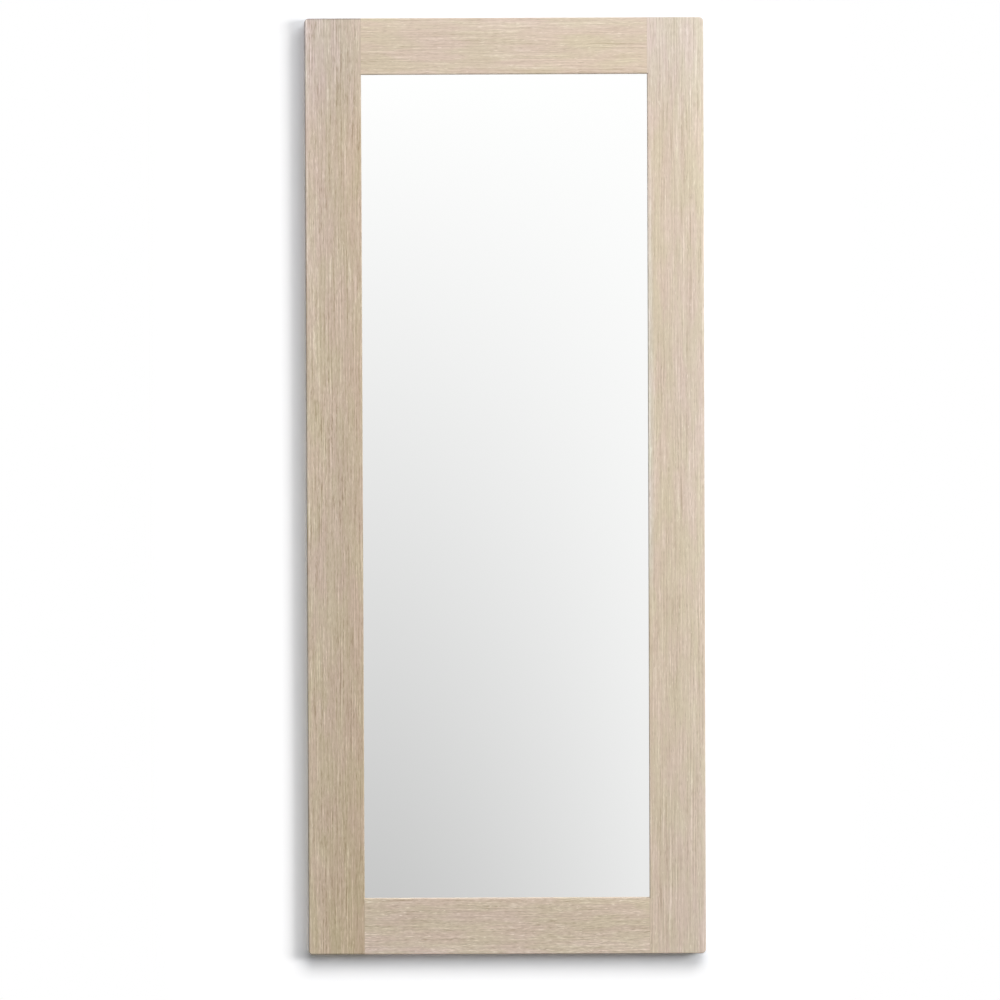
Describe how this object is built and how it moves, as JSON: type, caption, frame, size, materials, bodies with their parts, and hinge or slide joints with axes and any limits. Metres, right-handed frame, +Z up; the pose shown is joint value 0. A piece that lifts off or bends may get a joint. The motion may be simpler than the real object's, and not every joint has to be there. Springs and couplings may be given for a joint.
{
  "type": "wall mirror",
  "caption": "Full-length rectangular wall mirror in a flat limed oak frame, with a rebated back, strap hangers with swinging D-rings and rubber bumpers.",
  "frame": {"origin": "on the wall plane that the bumpers touch, at the middle of the frame's width and height", "axes": "+Z up along the frame's long side, +X to the right as seen from the front, +Y from the mirror into the wall"},
  "size_m": [0.85, 0.043, 2],
  "materials": {
    "limed_oak": "pale limed oak, satin",
    "pine": "planed pine, bare",
    "beech": "turned beech, bare",
    "board": "hardboard, smooth side out",
    "mirror": "silvered float glass",
    "film": "woven-backed safety film",
    "tape": "closed-cell glazing tape",
    "foam": "closed-cell foam strip",
    "block_rubber": "hard rubber",
    "rubber": "moulded rubber, matt",
    "bright_steel": "bright wire",
    "zinc_screw": "zinc plated",
    "zinc_plate": "zinc plated strip",
    "zinc_wire": "zinc plated wire"
  },
  "bodies": {
    "frame": {"left_stile": "limed_oak", "right_stile": "limed_oak", "top_rail": "limed_oak", "bottom_rail": "limed_oak", "left_batten": "pine", "right_batten": "pine", "top_batten": "pine", "bottom_batten": "pine", "left_batten_pins": "bright_steel", "right_batten_pins": "bright_steel", "top_batten_pins": "bright_steel", "bottom_batten_pins": "bright_steel", "dowels_top_left": "beech", "dowels_top_right": "beech", "dowels_bottom_left": "beech", "dowels_bottom_right": "beech", "bumper_top_left": "rubber", "bumper_top_right": "rubber", "bumper_bottom_left": "rubber", "bumper_bottom_right": "rubber", "mirror_pane": "mirror", "safety_film": "film", "glazing_tape": "tape", "foam_strips": "foam", "setting_blocks": "block_rubber", "back_board": "board", "back_board_screws": "zinc_screw", "strap_left": "zinc_plate", "strap_right": "zinc_plate", "hanger_screws_left": "zinc_screw", "hanger_screws_right": "zinc_screw", "bumper_screws": "zinc_screw"},
    "ring_left": {"ring_left": "zinc_wire"},
    "ring_right": {"ring_right": "zinc_wire"}
  },
  "joints": [
    {"name": "ring_left_swing", "type": "hinge", "parent": "frame", "child": "ring_left", "pos_m": [-0.38, -0.0044, 0.7], "axis": [1, 0, 0], "range_deg": [0, 180]},
    {"name": "ring_right_swing", "type": "hinge", "parent": "frame", "child": "ring_right", "pos_m": [0.38, -0.0044, 0.7], "axis": [1, 0, 0], "range_deg": [0, 180]}
  ]
}
